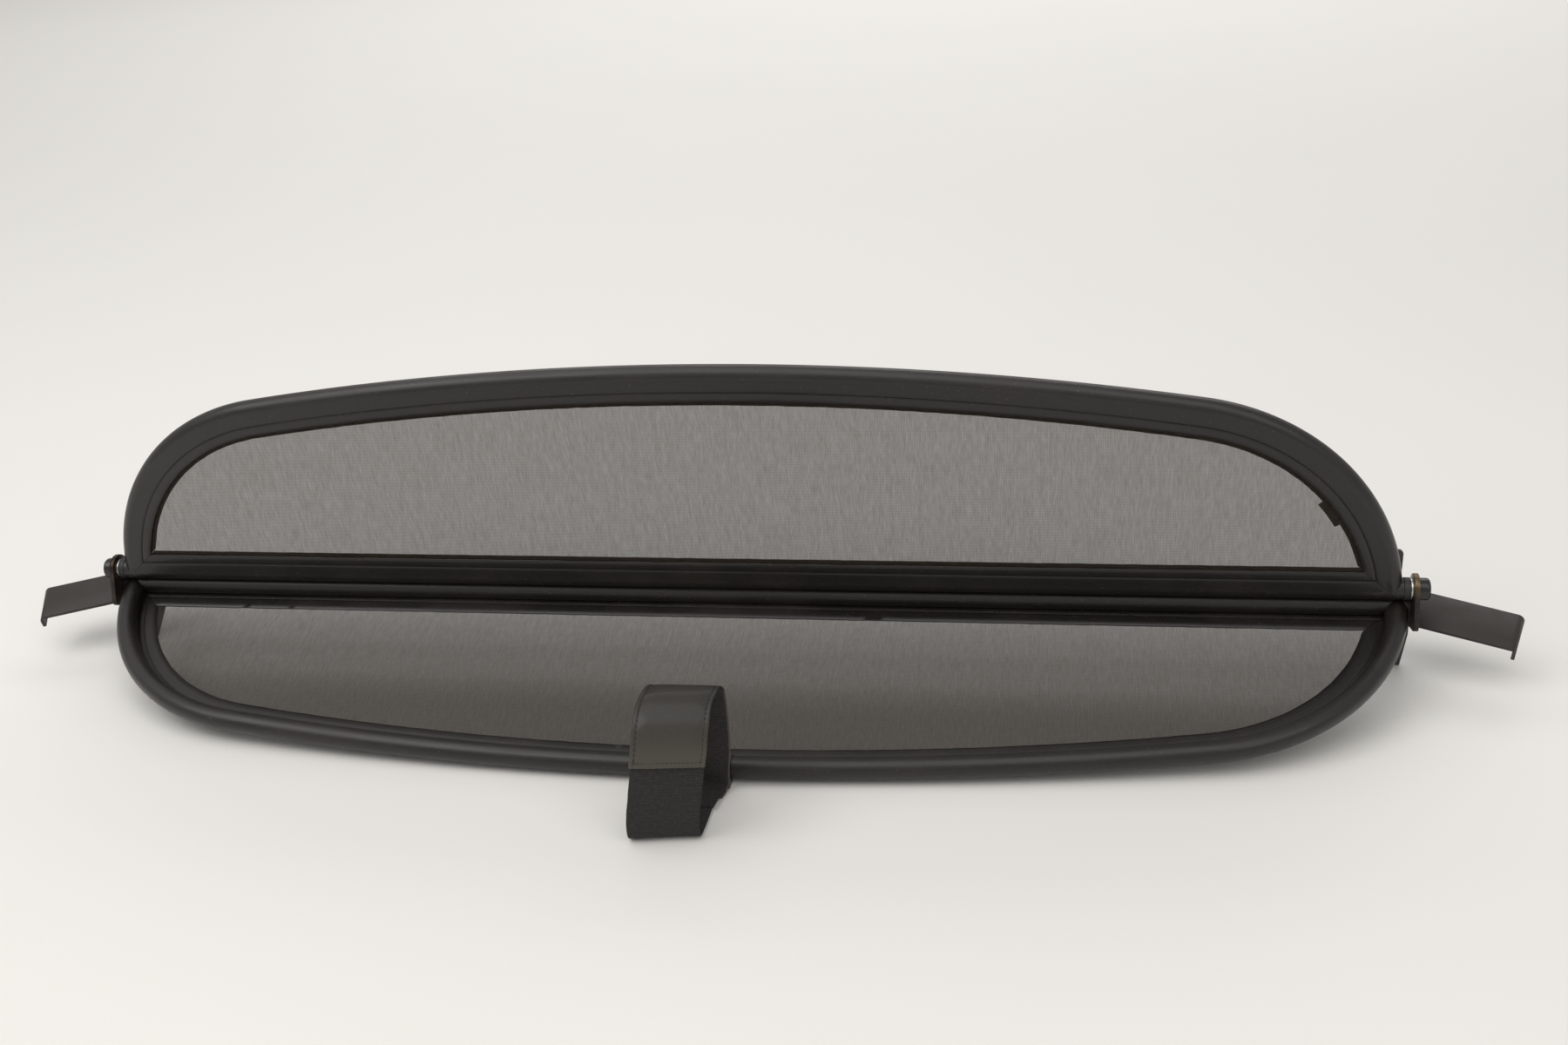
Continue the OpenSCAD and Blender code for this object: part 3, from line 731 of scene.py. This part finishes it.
# Seams of the strap: distance from the edge, pitch of the rows along and across, and heights
# of their thread over the strap's line
STRAP_SEAM = 3.4
ALONG_PITCH, CROSS_PITCH = 3.0, 3.1
ALONG_LEVEL, CROSS_LEVEL = 1.66, 1.94
# The strap's sleeve: centre of the tube in it as (Y, Z), radii inside and outside, and how
# low it may reach
STRAP_TUBE = (-186.25, -71.163)
SLEEVE_IN, SLEEVE_OUT = 9.55, 10.75
SLEEVE_LOW = -81.9


def strap_stations(pitch):
    """Smooth curve through the strap's places, with a frame at each step:
    width along X, run along Y, outwards along Z."""
    pts = [Vector(p) for p in STRAP_LINE]
    fine = []
    for i in range(1, len(pts) - 2):
        p0, p1, p2, p3 = pts[i - 1:i + 3]
        for k in range(12):
            t = k / 12
            fine.append(0.5 * (2 * p1 + (p2 - p0) * t + (2 * p0 - 5 * p1 + 4 * p2 - p3) * t * t
                               + (3 * p1 - p0 - 3 * p2 + p3) * t * t * t))
    out, run, goal = [], 0.0, 0.0
    for here, there in zip(fine, fine[1:]):
        step = (there.xyz - here.xyz).length
        while goal <= run + step:
            q = here.lerp(there, (goal - run) / step)
            out.append((goal, q.xyz, q.w))
            goal += pitch
        run += step
    frames = []
    for i, (d, p, turn) in enumerate(out):
        run_dir = out[min(i + 1, len(out) - 1)][1] - out[max(i - 1, 0)][1]
        run_dir = Vector((0.0, run_dir.y, run_dir.z)).normalized()
        wide = Vector((math.cos(math.radians(turn)), math.sin(math.radians(turn)), 0.0))
        wide = (wide - run_dir * wide.dot(run_dir)).normalized()
        out_dir = wide.cross(run_dir)
        turn_m = Matrix((wide, run_dir, out_dir)).transposed().to_4x4()
        frames.append((d, Matrix.Translation(p) @ turn_m))
    return frames


def strap_profile(width, low, high, groove):
    h, e = width / 2, min(0.6, (high - low) * 0.35)
    top = [(-h + e, high), (-h + 2.5, high), (-h + STRAP_SEAM, high - groove), (-h + 4.3, high),
           (-h / 2, high + groove / 2), (0.0, high + groove / 2)]
    top += [(-a, n) for a, n in reversed(top[:-1])]
    right = [(h, high - e), (h, low + e), (h - e, low)]
    left = [(-a, n) for a, n in reversed(right)]
    return top + right + [(h / 2, low), (0.0, low), (-h / 2, low)] + left


def strap_strip(name, frames, profile, material, slot_name, node, seed):
    bm = bmesh.new()
    run_layer = bm.verts.layers.float.new("run")
    side_layer = bm.verts.layers.float.new("side")
    loop = section_loop(bm, profile, frames[0][1])
    for v, (a, n) in zip(bm.verts, profile):
        v[side_layer] = a
        v[run_layer] = frames[0][0]
    cap_loop(bm, loop)
    for (d0, m0), (d1, m1) in zip(frames, frames[1:]):
        loop = push_loop(bm, loop, m1 @ m0.inverted())
        for e in loop:
            for v in e.verts:
                v[run_layer] = d1
    cap_loop(bm, loop)
    uv = bm.loops.layers.uv.new("weave")
    for f in bm.faces:
        for l in f.loops:
            l[uv].uv = (l.vert[side_layer], l.vert[run_layer])
    for v in bm.verts:
        q = Vector((v[side_layer] * 0.06, v[run_layer] * 0.05, seed))
        v.co.x += 0.30 * noise.noise(Vector((0.0, v[run_layer] * 0.09, seed + 4.0)))
        v.co.y += 0.35 * noise.noise(q)
        v.co.z = max(v.co.z, FLOOR_LEVEL)
    closed_piece(bm, name, material, "lower_frame", slot_name, [node], TO_HINGE)


def strap_stitches(frames):
    """Rows along both edges, and one across near each end."""
    half = LEATHER_WIDE / 2 - STRAP_SEAM
    spots = []
    along = Matrix.Rotation(math.pi / 2, 4, "Z")
    last = frames[0][0]
    for d, m in frames:
        if d - last >= ALONG_PITCH and d - frames[0][0] > 4.5:
            spots += [m @ Matrix.Translation((side * half, 0, ALONG_LEVEL)) @ along
                      for side in (1.0, -1.0)]
            last = d
    for level in (frames[2][1], frames[-3][1]):
        spots += [level @ Matrix.Translation((-half + CROSS_PITCH * i, 0, CROSS_LEVEL))
                  for i in range(int(2 * half / CROSS_PITCH) + 1)]
    for spot in spots:
        spot.translation.z = max(spot.translation.z, 0.4 + FLOOR_LEVEL)
    stitch_piece("strap_stitches", spots, TO_HINGE, "lower_frame", "strap_leatherette", 2.4, 0.6)


def arc(centre, r, start, end, steps):
    turns = [math.radians(start + (end - start) * i / steps) for i in range(steps + 1)]
    return [(centre[0] + r * math.cos(t), centre[1] + r * math.sin(t)) for t in turns]


def strap_sleeve():
    """Leatherette sewn round the lower tube and up against the loop's back."""
    outline = arc(STRAP_TUBE, SLEEVE_OUT, -12.0, 128.0, 20)
    outline += [(-199.5, -58.0), (-205.2, -49.0), (-208.4, -42.0), (-209.6, -42.6),
                (-208.2, -50.0), (-204.8, -60.5), (-200.8, -70.0), (-200.6, -75.6),
                (-203.0, -79.4), (-200.0, -81.4), (-193.0, -81.8)]
    outline += arc(STRAP_TUBE, SLEEVE_OUT, -90.0, -53.0, 6)
    outline += arc(STRAP_TUBE, SLEEVE_IN, -53.0, -90.0, 6)[:-1]
    outline += arc(STRAP_TUBE, SLEEVE_IN, -90.0, -372.0, 40)
    bm = bmesh.new()
    loop = closed_loop(bm, [(-20.2, y, z) for y, z in outline])
    cap_loop(bm, loop)
    for i in range(19):
        loop = push_loop(bm, loop, Matrix.Translation((3.0, 0, 0)))
    cap_loop(bm, loop)
    for v in bm.verts:
        out = Vector((0, v.co.y - STRAP_TUBE[0], v.co.z - STRAP_TUBE[1]))
        if out.length > 10.3:
            v.co += out.normalized() * 0.28 * noise.noise(v.co * 0.16)
        v.co.x += 0.35 * noise.noise(Vector((0.0, v.co.y * 0.15, v.co.z * 0.15)))
        v.co.z = max(v.co.z, SLEEVE_LOW)
    closed_piece(bm, "strap_sleeve", STRAP_SKIN, "lower_frame", "strap_leatherette",
                 ["strap_rail_wrap"], TO_HINGE, 35.0)


stations = strap_stations(2.0)
first = min(i for i, f in enumerate(stations) if f[1].translation.z > LEATHER_END)
leather_run = [f for f in stations[first:] if f[0] <= stations[-1][0] - LEATHER_SHORT]
strap_strip("strap_hook_webbing", stations, strap_profile(WEBBING_WIDE, -1.75, 0.0, 0.0),
            WEBBING, "webbing", "strap_webbing", 2.2)
strap_strip("strap_leather_layer", leather_run, strap_profile(LEATHER_WIDE, 0.05, 1.8, 0.45),
            STRAP_SKIN, "strap_leatherette", "strap_leather", 2.2)
strap_stitches(leather_run)
strap_sleeve()


# Tab of tape, folded over at its free edge

def tape_tab():
    c = corner_centre(UPPER_HALF)
    centre = Vector((c.x, c.y, 0.0))
    section = [(177.0, 5.85), (160.4, 5.85), (159.3, 5.6), (158.8, 5.1), (159.2, 4.6),
               (160.3, 4.35), (172.0, 4.4), (172.2, 4.7), (172.0, 4.95), (160.6, 4.9),
               (160.2, 5.1), (160.6, 5.3), (177.0, 5.35)]
    start = Matrix.Translation(centre) @ Matrix.Rotation(math.radians(30.7), 4, "Z")
    bm = bmesh.new()
    loop = section_loop(bm, section, start)
    cap_loop(bm, loop)
    steps = 12
    turn = turn_about(centre, math.radians(9.0 / steps))
    for i in range(steps):
        loop = push_loop(bm, loop, turn)
    cap_loop(bm, loop)
    for v in bm.verts:
        v.co.z += 0.15 * noise.noise(v.co * 0.2)
    closed_piece(bm, "tape_tab", TAPE, "upper_frame", "tape", ["hold_tab"], UPPER_PLACE)


tape_tab()


# Metal and plastic pieces with their edges eased, and weld beads

def eased_copy(node_name, name, material, body, slot_name, width, segments=2, lower=0.0):
    """Copy of a node with its edges bevelled by width, in millimetres, and with a leg plate's
    shoulder brought down by lower, in metres."""
    bm = bmesh.new()
    bm.from_mesh(nodes[node_name].data)
    bmesh.ops.remove_doubles(bm, verts=bm.verts, dist=1e-6)
    bmesh.ops.recalc_face_normals(bm, faces=bm.faces)
    bmesh.ops.dissolve_limit(bm, angle_limit=math.radians(1.0), verts=bm.verts, edges=bm.edges)
    for v in bm.verts:
        level = v.co.z - HINGE.z
        if abs(v.co.x) > SHOULDER_FROM and SHOULDER_LOW < level < SHOULDER_HIGH:
            v.co.z -= lower
    sharp = [e for e in bm.edges
             if len(e.link_faces) == 2 and e.calc_face_angle() > math.radians(28.0)]
    bmesh.ops.bevel(bm, geom=sharp, offset=width * MM, segments=segments, profile=0.5,
                    affect="EDGES", clamp_overlap=True, material=-1)
    bmesh.ops.recalc_face_normals(bm, faces=bm.faces)
    finish_mesh(bm, name, material, body, slot_name, [node_name], None, 32.0)


def weld_bead(name, start, end, radius, side, seed):
    """Ripples of weld metal laid along a line in the lower frame."""
    bm = bmesh.new()
    a, b = Vector(start), Vector(end)
    along = (b - a).normalized()
    across = along.orthogonal().normalized()
    turn = Matrix((across, along, across.cross(along))).transposed().to_4x4()
    long = (b - a).length
    steps = int(long / 0.5)
    frames = []
    for i in range(steps + 1):
        d = long * i / steps
        uneven = 0.10 * noise.noise(Vector((d * 0.6, seed, 0.0)))
        ripple = 0.80 + 0.16 * abs(math.sin(math.pi * d / 2.1)) + uneven
        ripple *= min(1.0, 0.25 + 0.75 * min(i, steps - i) / 3)
        swell = Matrix.Diagonal((ripple, 1, ripple, 1))
        frames.append(Matrix.Translation(a + along * d) @ turn @ swell)
    loop = section_loop(bm, circle(radius, 10), frames[0])
    cap_loop(bm, loop)
    for m0, m1 in zip(frames, frames[1:]):
        loop = push_loop(bm, loop, m1 @ m0.inverted())
    cap_loop(bm, loop)
    if side < 0:
        bmesh.ops.scale(bm, vec=(-1, 1, 1), verts=bm.verts)
    closed_piece(bm, name, EAR_STEEL, "lower_frame", "ear_steel", (), LOWER_PLANE, 60.0)


for side, word in SIDES:
    eased_copy(word + "_arm", word + "_arm_strip", ARM_PAINT, "lower_frame",
               "painted_steel", 0.45)
    eased_copy(word + "_leg_plate", word + "_stop_plate", LEG_PAINT, "lower_frame",
               "painted_steel", 0.4, lower=0.016)
    eased_copy(word + "_pivot_ear", word + "_ear_plate", EAR_STEEL, "lower_frame",
               "ear_steel", 0.5)
    eased_copy(word + "_washer", word + "_flat_washer", WASHER_ZINC, "lower_frame",
               "plated_washer", 0.3)
    eased_copy(word + "_end_bush", word + "_flanged_bush", BUSH_PLASTIC, "upper_frame",
               "bush_plastic", 0.6, 3)
    weld_bead(word + "_arm_weld", (EAR_OUT + 0.5, -11.5, ARM_LEVEL - 0.5),
              (EAR_OUT + 0.5, 8.5, ARM_LEVEL - 0.5), 1.9, side, 3.0 + side)


# Materials of the nodes that are shown as they are
for node_name, material in (
        ("lower_bow_tube", TUBE_STEEL), ("lower_rail_tube", TUBE_STEEL),
        ("upper_bow_tube", TUBE_STEEL), ("upper_rail_tube", TUBE_STEEL),
        ("right_pivot_bolt", BOLT_ZINC), ("left_pivot_bolt", BOLT_ZINC),
        ("right_bolt_cap", CAP_PLASTIC), ("left_bolt_cap", CAP_PLASTIC)):
    mesh = nodes[node_name].data
    mesh.materials.clear()
    mesh.materials.append(material)


# Floor, light and camera

def floor_material():
    m, t, p, c = new_material("studio_floor")
    n = noise_node(t, c.outputs["Object"], 1.3, 4.0)
    colour = mix_colour(t, n, (0.80, 0.79, 0.765), (0.83, 0.82, 0.795))
    t.links.new(colour, p.inputs["Base Color"])
    p.inputs["Roughness"].default_value = 0.55
    return m


bm = bmesh.new()
bmesh.ops.create_grid(bm, x_segments=2, y_segments=2, size=14.0)
mesh = bpy.data.meshes.new("studio_floor")
bm.to_mesh(mesh)
bm.free()
floor = bpy.data.objects.new("studio_floor", mesh)
# A little below the feet, so that nothing lies in its plane
floor.location = (0.0, 0.0, -0.0005)
floor.data.materials.append(floor_material())
bpy.context.collection.objects.link(floor)

world = bpy.data.worlds.new("studio")
bpy.context.scene.world = world
world.use_nodes = True
sky = world.node_tree.nodes["Background"]
sky.inputs["Color"].default_value = (1.0, 0.985, 0.96, 1.0)
sky.inputs["Strength"].default_value = 0.46


def soft_light(name, place, target, size, power, colour):
    data = bpy.data.lights.new(name, "AREA")
    data.shape = "RECTANGLE"
    data.size, data.size_y = size
    data.energy = power
    data.color = colour
    obj = bpy.data.objects.new(name, data)
    obj.location = place
    d = Vector(target) - Vector(place)
    obj.rotation_mode = "QUATERNION"
    obj.rotation_quaternion = d.to_track_quat("-Z", "Y")
    bpy.context.collection.objects.link(obj)


soft_light("top", (-0.4, -0.55, 2.8), (0.0, 0.1, 0.0), (4.2, 2.2), 37.0, (1.0, 0.99, 0.97))
soft_light("back", (0.0, 4.6, 3.4), (0.0, 5.0, 0.0), (6.0, 3.5), 120.0, (1.0, 0.99, 0.97))
soft_light("key", (-1.7, -1.1, 2.2), (0.0, 0.0, 0.1), (1.8, 1.4), 20.0, (1.0, 0.985, 0.96))
soft_light("fill", (1.9, -1.5, 1.9), (0.0, 0.0, 0.1), (1.4, 1.4), 9.0, (1.0, 0.975, 0.94))

# The camera as solved from the outlines in the photo
camera_data = bpy.data.cameras.new("camera")
camera_data.lens = 38.1
camera_data.sensor_width = 36.0
camera_data.sensor_fit = "HORIZONTAL"
camera_data.clip_end = 60.0
camera = bpy.data.objects.new("camera", camera_data)
pitch, yaw, roll = math.radians(26.0), math.radians(10.8), math.radians(-4.19)
right = Vector((math.cos(yaw), math.sin(yaw), 0.0))
ahead = Vector((-math.sin(yaw) * math.cos(pitch), math.cos(yaw) * math.cos(pitch),
                -math.sin(pitch)))
up = right.cross(ahead)
tilt_right = right * math.cos(roll) + up * math.sin(roll)
tilt_up = up * math.cos(roll) - right * math.sin(roll)
turn = Matrix((tilt_right, tilt_up, -ahead)).transposed()
camera.matrix_world = Matrix.Translation(Vector((0.2984, -1.2619, 0.6816)) + HINGE) @ turn.to_4x4()
bpy.context.collection.objects.link(camera)
bpy.context.scene.camera = camera
bpy.context.scene.view_settings.view_transform = "Standard"
